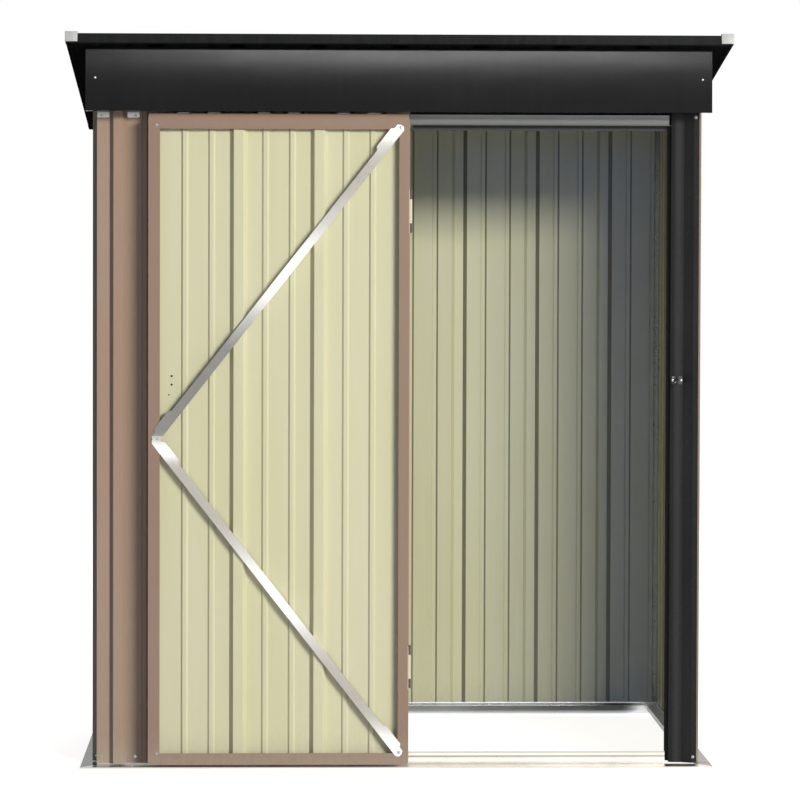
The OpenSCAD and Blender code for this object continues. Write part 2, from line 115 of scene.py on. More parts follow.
# %% A socket that can do sums
class Wire:
    """An output socket of a node tree, with arithmetic."""

    def __init__(self, socket):
        self.socket = socket

    def out(self, name):
        """Another output of the same node."""
        return Wire(self.socket.node.outputs[name])

    def sum(self, operation, *terms):
        """One Math node on these terms."""
        tree = self.socket.id_data
        made = tree.nodes.new("ShaderNodeMath")
        made.operation = operation
        for slot, term in zip(made.inputs, terms):
            plug(tree, slot, term)
        return Wire(made.outputs[0])

    def __add__(self, other):
        return self.sum("ADD", self, other)

    def __radd__(self, other):
        return self.sum("ADD", other, self)

    def __sub__(self, other):
        return self.sum("SUBTRACT", self, other)

    def __rsub__(self, other):
        return self.sum("SUBTRACT", other, self)

    def __mul__(self, other):
        return self.sum("MULTIPLY", self, other)

    def __rmul__(self, other):
        return self.sum("MULTIPLY", other, self)

    def __truediv__(self, other):
        return self.sum("DIVIDE", self, other)

    def __rtruediv__(self, other):
        return self.sum("DIVIDE", other, self)

    def __gt__(self, other):
        return self.sum("GREATER_THAN", self, other)

    def __lt__(self, other):
        return self.sum("LESS_THAN", self, other)


def plug(tree, slot, value):
    """Links a wire to an input, or writes a plain value into it."""
    if isinstance(value, Wire):
        tree.links.new(value.socket, slot)
    else:
        slot.default_value = value


# %% A finish being made
class Finish:
    """A material with a Principled surface, made node by node."""

    def __init__(self, name, **surface):
        self.material = bpy.data.materials.new(name)
        self.material.use_nodes = True
        self.tree = self.material.node_tree
        self.surface = self.tree.nodes["Principled BSDF"]
        self.set(**surface)
        self.place = self.node("ShaderNodeTexCoord", output="Object")
        self.normal = self.place.out("Normal")

    def set(self, **values):
        """Writes or links inputs of the surface; an underscore stands for a blank."""
        for name, value in values.items():
            plug(self.tree, self.surface.inputs[name.replace("_", " ")], value)

    def node(self, kind, settings=None, values=None, output=0):
        """Any node: its settings first, then the values or links of its inputs."""
        made = self.tree.nodes.new(kind)
        for name, value in (settings or {}).items():
            setattr(made, name, value)
        for name, value in (values or {}).items():
            plug(self.tree, made.inputs[name], value)
        return Wire(made.outputs[output])

    def axes(self, vector):
        """A node that splits a vector; its .out("X"), .out("Y") and .out("Z") are the parts."""
        return self.node("ShaderNodeSeparateXYZ", {}, {"Vector": vector})


print("shader helpers ready")

# %% [markdown]
# A few small recipes come back in the finishes. `blotch` is cloudy noise, which
# may be stretched along one direction. `blend` mixes two colours by a mask.
# `ramp` turns one range of numbers into another. `bells` marks soft stretches
# along one axis. `relief` sends a height to the surface's normal as a bump.
# `paint` turns a colour as it looks on a screen into the numbers of light.

# %% Recipes that the finishes share
def blotch(finish, scale, stretch=(1, 1, 1), detail=3.0, rough=0.55):
    """Cloudy noise; a small number in stretch draws it out along that axis."""
    spot = finish.node("ShaderNodeMapping", {}, {"Vector": finish.place, "Scale": stretch})
    return finish.node("ShaderNodeTexNoise", {}, {
        "Vector": spot, "Scale": scale, "Detail": detail, "Roughness": rough})


def blend(finish, mask, first, second):
    """Colour first where the mask is 0 and colour second where it is 1."""
    return finish.node("ShaderNodeMix", {"data_type": "RGBA"}, {0: mask, 6: first, 7: second}, 2)


def ramp(finish, value, low, high, to_low=0.0, to_high=1.0):
    """The range low to high becomes to_low to to_high, and stops there."""
    return finish.node("ShaderNodeMapRange", {"clamp": True}, {
        "Value": value, "From Min": low, "From Max": high, "To Min": to_low, "To Max": to_high})


def bells(value, places):
    """A sum of soft bells: 1 in the middle of each place and 0 far from all of them."""
    total = 0.0
    for middle, spread in places:
        off = (value - middle) / spread
        fall = off * off * -1.0
        total = fall.sum("EXPONENT", fall) + total
    return total


def relief(finish, height, distance, strength):
    """A bump that stands distance metres high where height is 1."""
    finish.set(Normal=finish.node("ShaderNodeBump", {}, {
        "Height": height, "Distance": distance, "Strength": strength}))


def paint(red, green, blue):
    """A colour given as the eye reads it on a screen, 0 to 255, as linear light."""
    def linear(c):
        c /= 255
        return c / 12.92 if c <= 0.04045 else ((c + 0.055) / 1.055) ** 2.4
    return (linear(red), linear(green), linear(blue), 1.0)


print("middle grey on a screen is", round(paint(128, 128, 128)[0], 3), "as light")

# %% [markdown]
# ## Coil-coated sheet steel
#
# The sheets are painted in the coil, brown outside and cream inside. A wall
# sheet is one thin solid, so the finish has to know which side it is on. The
# Object normal answers that: on the back wall every outer face looks towards
# +Y, also on the slopes of the ribs. The paint itself is almost even. What
# makes it steel is a slow unevenness in colour and shine, a very fine orange
# peel, the slight waves that rolling leaves in thin sheet, and a little dust
# near the ground.
#
# One slope of each rib should show as a dark line, which wide lamps lose. So the
# same normal darkens the slopes that face left, or on the side walls the slopes
# that face the front: painted shade on the rib slopes.

# %% Painted sheet
BROWN, BROWN_WARM = paint(174, 150, 133), paint(169, 139, 119)
FRAME, FRAME_WARM = paint(156, 130, 114), paint(150, 123, 106)
CREAM, CREAM_WARM = paint(222, 217, 187), paint(215, 210, 170)
HINGE_BROWN, HINGE_DARK = paint(112, 98, 82), paint(84, 74, 62)
HINGE_BEIGE = paint(214, 204, 186)
# Painted shade for rib slopes that face away from the lamps.
SLOPE_PAINTED_SHADE = paint(60, 56, 40)
DUST = paint(186, 178, 164)
DUST_TOP, DUST_COVER = 0.25, 0.35


def painted_sheet(name, outside, outside_worn, inside=None, inside_worn=None, facing=None,
                  slope_shade=None, gloss=0.4):
    """facing: axis and sign of the outer side; slope_shade: axis and depth of painted slope shade."""
    finish = Finish(name, Metallic=0.0, Coat_Weight=0.0, Specular_IOR_Level=gloss)
    cloud = blotch(finish, scale=2.3, stretch=(1, 1, 0.45), detail=4)
    streak = blotch(finish, scale=30, stretch=(1, 1, 0.05), rough=0.6)
    patch = ramp(finish, cloud * 0.65 + streak * 0.35, 0.36, 0.66)
    colour = blend(finish, patch, outside, outside_worn)
    if facing:
        letter, sign = facing
        axis, depth = slope_shade
        normal = finish.axes(finish.normal)
        outer = (normal.out(letter) * sign) > 0.0
        colour = blend(finish, outer, blend(finish, patch, inside, inside_worn), colour)
        # Painted shade: slopes that face away from the lamps turn darker.
        slope = ramp(finish, normal.out(axis) * -1, 0.1, 0.5)
        colour = blend(finish, slope * depth, colour, SLOPE_PAINTED_SHADE)
    low = ramp(finish, finish.axes(finish.place).out("Z"), 0.0, DUST_TOP, 1.0, 0.0)
    speckle = blotch(finish, scale=90, stretch=(1, 1, 0.4), detail=5, rough=0.7)
    dusty = ramp(finish, low * low * 0.6 + speckle * 0.6, 0.52, 0.95)
    shine = ramp(finish, cloud * 0.5 + speckle * 0.5, 0.3, 0.7, 0.34, 0.46)
    finish.set(Base_Color=blend(finish, dusty * DUST_COVER, colour, DUST),
               Roughness=shine + dusty * 0.2)
    peel = blotch(finish, scale=900, detail=2)
    waves = blotch(finish, scale=5, stretch=(1, 1, 0.35), detail=2)
    relief(finish, peel * 0.02 + waves, distance=0.0015, strength=0.6)
    return finish.material


print("recipe for painted sheet ready, dust up to", DUST_TOP, "m")

# %% The painted walls and frames
# Per wall: the outer side, then the axis and depth of the painted shade on rib slopes.
WALL_SIDES = {
    "front": (("Y", -1), ("X", 0.45)),
    "back": (("Y", 1), ("X", 0.6)),
    "door": (("Y", 1), ("X", 0.25)),
    "left": (("X", -1), ("Y", 0.8)),
    "right": (("X", 1), ("Y", 0.4)),
}
brown_out = {
    wall: painted_sheet(f"brown_cream_{wall}", BROWN, BROWN_WARM, CREAM, CREAM_WARM, facing, slope_shade)
    for wall, (facing, slope_shade) in WALL_SIDES.items()
}
brown_frame = painted_sheet("brown_frame", FRAME, FRAME_WARM)
cream_post = painted_sheet("cream_post", CREAM, CREAM_WARM)
hinge_brown = painted_sheet("hinge_brown", HINGE_BROWN, HINGE_DARK, gloss=0.2)
hinge_beige = painted_sheet("hinge_beige", HINGE_BEIGE, CREAM)
painted = [*brown_out.values(), brown_frame, cream_post, hinge_brown, hinge_beige]
print("painted sheet:", ", ".join(material.name for material in painted))

# %% [markdown]
# ## The door header
#
# The strip over the doorway is a folded sheet with a grey coat. It is painted
# lighter towards its top edge, painted light against the shadow of the fascia,
# and painted dark along the lip at its foot, a painted shade. Both follow the
# height, so a ramp and a comparison on z are all it takes.

# %% Grey door header
HEADER_FOOT, HEADER_TOP = 1.562, 1.59
# The top is painted lighter and the lip painted dark: painted light and painted shade.
HEADER_LOW, HEADER_PAINTED_LIGHT, HEADER_LIP_SHADE = paint(92, 92, 91), paint(222, 222, 222), paint(74, 74, 74)
LIP_GAP = 0.0005


def header_paint(name):
    """Grey with painted light towards the top, over a lip painted dark as shade."""
    finish = Finish(name, Metallic=0.0, Specular_IOR_Level=0.1)
    z = finish.axes(finish.place).out("Z")
    cloud = blotch(finish, scale=6, detail=4)
    # Painted light towards the top, painted shade on the lip below.
    painted_light_rise = ramp(finish, z + cloud * 0.002, HEADER_FOOT, HEADER_TOP)
    colour = blend(finish, painted_light_rise, HEADER_LOW, HEADER_PAINTED_LIGHT)
    lip = z < HEADER_FOOT - LIP_GAP
    finish.set(Base_Color=blend(finish, lip, colour, HEADER_LIP_SHADE),
               Roughness=ramp(finish, cloud, 0.3, 0.7, 0.4, 0.5))
    relief(finish, blotch(finish, scale=900, detail=2), distance=0.0001, strength=0.4)
    return finish.material


grey_coat = header_paint("header_grey")
print("header:", grey_coat.name)

# %% [markdown]
# ## Charcoal paint
#
# Roof, edge trims, fascia and latch post are charcoal. On a dark paint the
# shine carries the look: the curved fascia is bright along its upper bend and
# nearly black below. Fine scratches and rubbed patches show as slightly
# lighter paint.
#
# The roof and the trims shine only on their upper side, where a clear lacquer
# (the coat of the Principled surface) lies on paint that is painted lighter as
# painted light. From below they stay matt, and dark as painted shade. The latch
# post has one stretch of painted light along its whole height.

# %% Charcoal
# The lightest charcoal is painted light, for upper sides and the post's lighter stretch.
CHARCOAL, CHARCOAL_WORN, CHARCOAL_PAINTED_LIGHT = paint(24, 24, 25), paint(33, 33, 34), paint(48, 48, 49)
FASCIA_BLACK, FASCIA_WORN = paint(14, 14, 15), paint(19, 19, 20)
EDGE_GREY, EDGE_WORN = paint(40, 40, 41), paint(50, 50, 51)
KEEPER, KEEPER_WORN = paint(58, 58, 59), paint(76, 76, 77)
PALE_DUST = paint(120, 118, 114)
# The post's lighter stretch, its x and spread: painted light.
POST_PAINTED_LIGHT = (0.682, 0.008)
UPPER_FROM = 0.3
LACQUER = 0.6


def charcoal_paint(name, shade, worn, gloss, rough, dustiness=0.12, painted_light_bands=(), lacquer=0.0):
    """rough is a range; painted_light_bands: x and spread of painted light; lacquer is for the top."""
    finish = Finish(name, Metallic=0.0, Specular_IOR_Level=gloss)
    cloud = blotch(finish, scale=3.0, stretch=(0.5, 1, 1), detail=4)
    streak = blotch(finish, scale=55, stretch=(1, 1, 0.03), rough=0.65)
    rub = ramp(finish, cloud * 0.5 + streak * 0.5, 0.42, 0.68)
    dust = ramp(finish, blotch(finish, scale=140, detail=6, rough=0.75), 0.55, 0.8)
    colour = blend(finish, rub, shade, worn)
    if lacquer:
        # Painted light: the upper side is painted lighter; below it stays dark as painted shade.
        painted_top_light = finish.axes(finish.normal).out("Z") > UPPER_FROM
        colour = blend(finish, painted_top_light, colour, blend(finish, rub, CHARCOAL_WORN, CHARCOAL_PAINTED_LIGHT))
        finish.set(Coat_Weight=painted_top_light * lacquer, Coat_Roughness=0.3)
    # Painted light: lighter stretches over x.
    if painted_light_bands:
        x = finish.axes(finish.place).out("X")
        colour = blend(finish, bells(x, painted_light_bands), colour, CHARCOAL_PAINTED_LIGHT)
    finish.set(Base_Color=blend(finish, dust * dustiness, colour, PALE_DUST),
               Roughness=ramp(finish, cloud, 0.3, 0.7, *rough) + dust * dustiness)
    peel = blotch(finish, scale=700, detail=2)
    waves = blotch(finish, scale=6, stretch=(0.4, 1, 1), detail=2)
    relief(finish, peel * 0.02 + waves, distance=0.0015, strength=0.6)
    return finish.material


print("recipe for charcoal paint ready, lacquer", LACQUER)

# %% The charcoal pieces
post_coat = charcoal_paint("post_charcoal", CHARCOAL, CHARCOAL_WORN, gloss=0.16, rough=(0.27, 0.33),
                           painted_light_bands=[POST_PAINTED_LIGHT])
fascia_coat = charcoal_paint("fascia_charcoal", FASCIA_BLACK, FASCIA_WORN, gloss=0.12,
                             rough=(0.17, 0.21), dustiness=0.03)
roof_coat = charcoal_paint("roof_charcoal", CHARCOAL, CHARCOAL_WORN, gloss=0.0, rough=(0.4, 0.5),
                           lacquer=LACQUER)
front_trim = charcoal_paint("front_trim_charcoal", EDGE_GREY, EDGE_WORN, gloss=0.0,
                            rough=(0.5, 0.6), lacquer=LACQUER)
keeper_black = charcoal_paint("keeper_black", KEEPER, KEEPER_WORN, gloss=0.5, rough=(0.3, 0.4))
trim_coat = charcoal_paint("trim_charcoal", CHARCOAL, CHARCOAL_WORN, gloss=0.0, rough=(0.5, 0.6),
                           lacquer=LACQUER)
charcoals = (post_coat, fascia_coat, roof_coat, front_trim, keeper_black, trim_coat)
print("charcoal paint:", ", ".join(material.name for material in charcoals))

# %% [markdown]
# ## Bare metal
#
# The base ring, the posts and the top rails are galvanised. Hot zinc freezes in
# flat crystals, the spangle, each of which shines a little differently. Voronoi
# cells give each crystal its own grey and its own roughness, under a slow
# cloud. The latch, the screws and the rivets are zinc plated: brighter, without
# spangle, and brushed along the metal. The braces and the base ring show bands
# of light and dark, so they get finishes of their own further down.

# %% Galvanised steel
SPANGLE = 140


def galvanised(name, dark, light, rough):
    """Zinc with a faint spangle, stains and fine scratches."""
    finish = Finish(name, Metallic=1.0)
    cell = finish.node("ShaderNodeTexVoronoi", {}, {"Vector": finish.place, "Scale": SPANGLE}, "Color")
    tone = finish.node("ShaderNodeSeparateColor", {}, {"Color": cell}).out("Red")
    cloud = blotch(finish, scale=5, detail=4, rough=0.6)
    mixed = tone * 0.15 + cloud * 0.85
    stain = ramp(finish, blotch(finish, scale=24, detail=6, rough=0.7), 0.6, 0.78)
    colour = blend(finish, ramp(finish, mixed, 0.25, 0.75), dark, light)
    finish.set(Base_Color=blend(finish, stain * 0.25, colour, light),
               Roughness=ramp(finish, mixed, 0.2, 0.8, *rough) + stain * 0.15)
    scratch = blotch(finish, scale=300, stretch=(0.08, 1, 1), rough=0.6)
    relief(finish, scratch * 0.2 + tone * 0.1, distance=0.0003, strength=0.15)
    return finish.material


dull_zinc = galvanised("dull_zinc", paint(118, 122, 119), paint(138, 142, 138), rough=(0.22, 0.34))
print("galvanised:", dull_zinc.name)


# %% Zinc plate
def zinc_plate(name, dark, light, rough):
    """Plated metal with a fine brushed grain."""
    finish = Finish(name, Metallic=1.0)
    cloud = blotch(finish, scale=16, detail=5, rough=0.6)
    grain = blotch(finish, scale=400, stretch=(1, 1, 0.06), rough=0.6)
    mixed = cloud * 0.6 + grain * 0.4
    finish.set(Base_Color=blend(finish, ramp(finish, mixed, 0.3, 0.7), dark, light),
               Roughness=ramp(finish, mixed, 0.3, 0.7, *rough))
    relief(finish, grain, distance=0.0002, strength=0.4)
    return finish.material


plated = zinc_plate("zinc_plate", paint(206, 206, 206), paint(238, 238, 238), rough=(0.2, 0.32))
screw_zinc = zinc_plate("screw_zinc", paint(140, 146, 150), paint(184, 189, 192), rough=(0.28, 0.4))
print("plated:", plated.name, screw_zinc.name)

# %% [markdown]
# ## The door braces
#
# A long brace mirrors the room unevenly, and those reflections are painted into
# its colour: light in its middle and at its pressed ends, and duller in between.
# The height of a point tells where it lies on the brace, so each painted
# highlight is a soft bell over one height.

# %% Plated braces
# Heights and spreads of the painted highlights on the braces.
BRACE_PAINTED_HIGHLIGHTS = [(1.206, 0.105), (0.426, 0.1), (1.56, 0.045), (0.775, 0.024), (0.055, 0.05)]
PAINTED_DARK_FROM, PAINTED_DARK_TO = 1.24, 1.02
BRACE_FOOT = 0.81
BRACE_HIGHLIGHT_PAINT = paint(252, 252, 250)
BRACE_DIM_PAINT, BRACE_DARKEST_PAINT = paint(175, 170, 163), paint(132, 130, 127)


def brace_plate(name, painted_highlight, painted_dim, painted_darkest, rough):
    """Painted reflections: highlights, and the upper brace painted darkest above its foot."""
    finish = Finish(name, Metallic=1.0)
    z = finish.axes(finish.place).out("Z")
    cloud = blotch(finish, scale=20, detail=5, rough=0.6)
    grain = blotch(finish, scale=420, stretch=(1, 1, 0.2), rough=0.6)
    # Painted reflection: darkest above the foot of the upper brace, highlights in bells.
    deep = ramp(finish, z, PAINTED_DARK_FROM, PAINTED_DARK_TO) * (z > BRACE_FOOT)
    glow = ramp(finish, bells(z, BRACE_PAINTED_HIGHLIGHTS) + cloud * 0.1 - 0.05, 0.0, 1.0)
    colour = blend(finish, glow, blend(finish, deep, painted_dim, painted_darkest), painted_highlight)
    finish.set(Base_Color=colour,
               Roughness=ramp(finish, cloud * 0.6 + grain * 0.4, 0.3, 0.7, *rough))
    relief(finish, grain, distance=0.0002, strength=0.4)
    return finish.material


brace_zinc = brace_plate("brace_zinc", BRACE_HIGHLIGHT_PAINT, BRACE_DIM_PAINT, BRACE_DARKEST_PAINT, rough=(0.24, 0.36))
print("brace plate:", brace_zinc.name)

# %% [markdown]
# ## The base ring
#
# The base ring is folded zinc sheet. Each fold mirrors another part of the
# room, and those reflections are painted into its colour as light and dull
# bands along it. They keep their height, so each is a bell over z. A rail can
# also have a painted highlight at one x, and it can turn darker between two x
# as painted shade. The left rail is painted dark as shade. The right rail lies
# in a shaded corner, where a metal would only mirror that shade. It is given
# the colours of its reflection, painted on a surface without metal.

# %% Folded base rails
def folded_zinc(name, painted_highlight, painted_dim, dark, fade, painted_light_bands, highlight_spots=(), metal=1.0):
    """Painted reflections: bands over z, spots over x; painted shade between the two x of fade."""
    finish = Finish(name, Metallic=metal)
    axes = finish.axes(finish.place)
    x, z = axes.out("X"), axes.out("Z")
    cloud = blotch(finish, scale=9, detail=4, rough=0.6)
    # Painted reflections as bands over z and spots over x.
    glow = bells(z, painted_light_bands) + cloud * 0.2 - 0.1
    if highlight_spots:
        glow = glow + bells(x, highlight_spots)
    # Painted shade: the colour turns darker between the two x of fade.
    base = blend(finish, ramp(finish, x, *fade), painted_dim, dark)
    scratch = blotch(finish, scale=300, stretch=(0.08, 1, 1), rough=0.6)
    finish.set(Base_Color=blend(finish, ramp(finish, glow, 0.0, 1.0), base, painted_highlight),
               Roughness=ramp(finish, cloud * 0.6 + scratch * 0.4, 0.3, 0.7, 0.24, 0.34))
    relief(finish, scratch, distance=0.0002, strength=0.2)
    return finish.material


sill_zinc = folded_zinc(
    "sill_zinc", painted_highlight=paint(255, 254, 250), painted_dim=paint(205, 198, 186), dark=paint(176, 174, 170),
    fade=(0.05, -0.1), painted_light_bands=[(0.0155, 0.0065), (0.0305, 0.002), (0.001, 0.0025)])
rail_back = folded_zinc(
    "rail_back_zinc", painted_highlight=paint(250, 252, 255), painted_dim=paint(120, 122, 122), dark=paint(72, 76, 77),
    fade=(0.11, 0.57), painted_light_bands=[(0.0, 0.011), (0.037, 0.003)], highlight_spots=[(0.695, 0.03)])
# The left rail is painted dark all over: painted shade.
rail_left = folded_zinc(
    "rail_left_zinc", painted_highlight=paint(90, 94, 90), painted_dim=paint(62, 66, 60), dark=paint(62, 66, 60),
    fade=(-0.75, -0.7), painted_light_bands=[(0.037, 0.004)])
rail_right = folded_zinc(
    "rail_right_zinc", painted_highlight=paint(250, 253, 255), painted_dim=paint(205, 228, 250), dark=paint(146, 130, 120),
    fade=(0.728, 0.736), painted_light_bands=[(0.03, 0.004), (0.014, 0.004)], metal=0.0)
print("base rails:", sill_zinc.name, rail_back.name, rail_left.name, rail_right.name)

# %% [markdown]
# ## Moulded plastic
#
# The four roof corners are covered by small light grey caps of moulded plastic.
# Plastic has no streaks: only a fine grain from the mould and a soft shine. The
# same recipe in a dark shade serves the plug of the latch, and the screw ends,
# where it stands for the shade in their holes: painted shade.

# %% Grey plastic
def moulded_plastic(name, shade, worn, rough):
    """Plastic with a fine mould grain and small specks."""
    finish = Finish(name, Metallic=0.0, Specular_IOR_Level=0.4)
    cloud = blotch(finish, scale=30, detail=5, rough=0.6)
    grain = blotch(finish, scale=1400, rough=0.6)
    speck = blotch(finish, scale=460, detail=2, rough=0.5)
    finish.set(Base_Color=blend(finish, ramp(finish, cloud * 0.4 + speck * 0.6, 0.4, 0.66), shade, worn),
               Roughness=ramp(finish, cloud * 0.5 + grain * 0.5, 0.3, 0.7, *rough))
    relief(finish, grain, distance=0.00025, strength=0.5)
    return finish.material


cap_plastic = moulded_plastic("cap_plastic", paint(212, 212, 211), paint(188, 188, 188), rough=(0.42, 0.56))
plug_dark_and_hole_shade = moulded_plastic("plug_dark_and_hole_shade", paint(52, 50, 44), paint(70, 68, 60), rough=(0.6, 0.75))
print("plastics:", cap_plastic.name, plug_dark_and_hole_shade.name)

# %% [markdown]
# ## Hanging the finishes on the CAD model
#
# A CAD node keeps its mesh and its place. Only its material slots change, so
# each node is given the finish of the real piece by its name, or by how its
# name starts. The first start that fits counts.

# %% Finishes of the CAD nodes
finish_of = {
    # front_top_panel gets the charcoal of the trims: a dark sheet as painted shade under the fascia.
    "front_wall": brown_out["front"], "front_top_panel": trim_coat, "door_header": grey_coat,
    "left_wall": brown_out["left"], "right_wall": brown_out["right"],
    "back_wall_left": brown_out["back"], "back_wall_right": brown_out["back"],
    "door_panel": brown_out["door"], "hinge_post": cream_post, "latch_post": post_coat,
    "door_stile_hinge": brown_frame, "door_stile_latch": brown_frame,
    "door_rail_top": brown_frame, "door_rail_bottom": brown_frame,
    "base_rail_front": sill_zinc, "base_rail_back": rail_back, "base_rail_left": rail_left,
    "base_rail_right": rail_right, "door_latch": plated, "latch_keeper": keeper_black,
    "hinge_leaves_frame": hinge_brown, "hinge_leaves_door": hinge_beige,
}
finish_by_start = {
    "post_": dull_zinc, "top_rail": dull_zinc, "roof_purlin": dull_zinc, "roof_cap": cap_plastic,
    "roof_trim_front": front_trim, "roof_trim": trim_coat, "roof_": roof_coat,
    "fascia": fascia_coat, "door_brace": brace_zinc,
}
for name, thing in nodes.items():
    chosen = finish_of.get(name)
    if chosen is None:
        chosen = next(m for start, m in finish_by_start.items() if name.startswith(start))
    if not thing.material_slots:
        thing.data.materials.append(chosen)
    for material_slot in thing.material_slots:
        material_slot.material = chosen
print("dressed", len(nodes), "nodes")

# %% [markdown]
# ## Screws
#
# Thin sheet is held by short self-drilling screws: a flanged hexagon head,
# under roof screws also a washer. Each screw is made at the origin from bmesh
# cones and then moved to its place. How deep that place lies isn't typed in: a
# ray is sent at the CAD solid, and the screw sits where the ray lands, square
# to the surface.

# %% One screw and one rivet
SINK = 0.0002
TAPER = 0.0004
ROUND_SIDES, HEX_SIDES = 20, 6
WASHER_RADIUS, WASHER_THICK = 0.0062, 0.0012
FLANGE_RADIUS, FLANGE_THICK = 0.0041, 0.0008
HEX_RADIUS, HEX_TOP, HEX_EDGE = 0.0026, 0.0036, 0.0005
RIVET_SHOULDER, RIVET_CROWN = 0.86, 0.45


def disc(bm, radius, top_radius, low, high, sides):
    """A solid disc or cone between two heights."""
    made = bmesh.ops.create_cone(bm, cap_ends=True, cap_tris=False, segments=sides, radius1=radius,
                                 radius2=top_radius, depth=high - low)["verts"]
    bmesh.ops.translate(bm, verts=made, vec=(0, 0, (low + high) / 2))
    return made


def hex_screw(bm, washer=False):
    """A flanged hexagon head on z = 0, 8 mm over its flange."""
    before = set(bm.verts)
    lift = WASHER_THICK if washer else 0.0
    if washer:
        disc(bm, WASHER_RADIUS, WASHER_RADIUS - TAPER, -SINK, lift, ROUND_SIDES)
    disc(bm, FLANGE_RADIUS, FLANGE_RADIUS - TAPER, lift - SINK, lift + FLANGE_THICK, ROUND_SIDES)
    head = disc(bm, HEX_RADIUS, HEX_RADIUS, lift + FLANGE_THICK - SINK, lift + HEX_TOP, HEX_SIDES)
    rim = {e for v in head for e in v.link_edges
           if all(w.co.z > lift + HEX_TOP - HEX_EDGE for w in e.verts)}
    bmesh.ops.bevel(bm, geom=list(rim), offset=HEX_EDGE, segments=2, profile=0.5, affect="EDGES",
                    material=-1)
    return [v for v in bm.verts if v not in before]


def pan_rivet(bm, radius, height):
    """A low domed rivet head on z = 0."""
    before = set(bm.verts)
    disc(bm, radius, radius * RIVET_SHOULDER, -SINK, height / 2, ROUND_SIDES)
    disc(bm, radius * RIVET_SHOULDER, radius * RIVET_CROWN, height / 2, height, ROUND_SIDES)
    return [v for v in bm.verts if v not in before]


print("screw head", 1000 * HEX_TOP, "mm high")


# %% Finding a seat and finishing a piece
SMOOTH_UNDER = math.radians(35)


def seat(node_name, start, direction):
    """The point and normal where a ray meets a CAD node."""
    hit, point, normal, _ = nodes[node_name].ray_cast(Vector(start), Vector(direction).normalized())
    if not hit:
        raise RuntimeError(f"no seat on {node_name} from {tuple(start)}")
    return point, normal


def first_seat(start, direction):
    """The point and normal where a ray first meets the shed, whatever the node."""
    start, aim = Vector(start), Vector(direction).normalized()
    hits = [thing.ray_cast(start, aim) for thing in nodes.values()]
    found = [(point, normal) for hit, point, normal, _ in hits if hit]
    if not found:
        raise RuntimeError(f"nothing to seat on from {tuple(start)}")
    return min(found, key=lambda pair: (pair[0] - start).length)


def put(bm, verts, point, normal, spin):
    """Moves a piece made on z = 0 onto a point, standing along a normal."""
    stand = Vector(normal).to_track_quat("Z", "Y").to_matrix().to_4x4()
    bmesh.ops.transform(bm, verts=verts,
                        matrix=Matrix.Translation(point) @ stand @ Matrix.Rotation(spin, 4, "Z"))


def finished(name, bm, material, body):
    """Turns a bmesh into a piece of the shed that rides on a body."""
    bmesh.ops.recalc_face_normals(bm, faces=bm.faces)
    mesh = bpy.data.meshes.new(name)
    bm.to_mesh(mesh)
    bm.free()
    mesh.materials.append(material)
    thing = bpy.data.objects.new(name, mesh)
    scene.collection.objects.link(thing)
    mesh.shade_smooth()
    mesh.set_sharp_from_angle(angle=SMOOTH_UNDER)
    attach(thing, body)
    return thing


print("pieces turn smooth under", round(math.degrees(SMOOTH_UNDER)), "degrees")

# %% [markdown]
# ## Clips and wall screws
#
# Under the fascia two short galvanised clips lie beside each rib of the front
# wall. They are made first, because the upper screws go through them. The
# walls are screwed beside each rib too, to the base ring and to the top rail.

# %% Where the ribs are
RIB_PITCH = 0.195
RIB_SIDE = 0.0415
side_ribs = [-0.321 + RIB_PITCH * k for k in range(4)]
wall_ribs = {
    "front_wall": [-0.678, -0.4839, -0.2897, -0.0956],
    "left_wall": side_ribs,
    "right_wall": side_ribs,
    "back_wall_left": [RIB_PITCH * k for k in (-3, -2, -1)],
    "back_wall_right": [RIB_PITCH * k for k in (1, 2, 3)],
}
print("ribs:", sum(len(ribs) for ribs in wall_ribs.values()))

# %% Clips under the fascia
CLIP_HALF, CLIP_SIDE, CLIP_THICK = 0.0145, 0.0365, 0.0008
CLIP_LOW, CLIP_HIGH = 1.5775, 1.591
CLIP_ROUND = 0.002


def slab(bm, low, high, round_by):
    """A thin box between two corners, with the corners of its outline rounded."""
    low, high = Vector(low), Vector(high)
    middle, size = (low + high) / 2, high - low
    made = bmesh.ops.create_cube(bm, size=1.0)["verts"]
    bmesh.ops.scale(bm, verts=made, vec=size)
    bmesh.ops.translate(bm, verts=made, vec=middle)
    rim = {e for v in made for e in v.link_edges
           if abs(e.verts[0].co.y - e.verts[1].co.y) > size.y / 2}
    bmesh.ops.bevel(bm, geom=list(rim), offset=round_by, segments=3, profile=0.5, affect="EDGES",
                    material=-1)


bm = bmesh.new()
for rib in wall_ribs["front_wall"]:
    for middle in (rib - CLIP_SIDE, rib + CLIP_SIDE):
        slab(bm, (middle - CLIP_HALF, FRONT - CLIP_THICK, CLIP_LOW),
             (middle + CLIP_HALF, FRONT, CLIP_HIGH), CLIP_ROUND)
finished("fascia_clips", bm, sill_zinc, "shed")
print("clips:", 2 * len(wall_ribs["front_wall"]))

# %% Where the wall screws go
LOW_SCREW, HIGH_SCREW = 0.026, 1.5815
RAY_BACK = 0.2
ROOF_FOOT, ROOF_SLOPE = 1.7306, math.radians(10.8)
UNDER_ROOF = 0.022


def high_screw(y):
    """The height of a screw in the top rail, a little below the underside of the roof."""
    return ROOF_FOOT - (y - FRONT) * math.tan(ROOF_SLOPE) - UNDER_ROOF


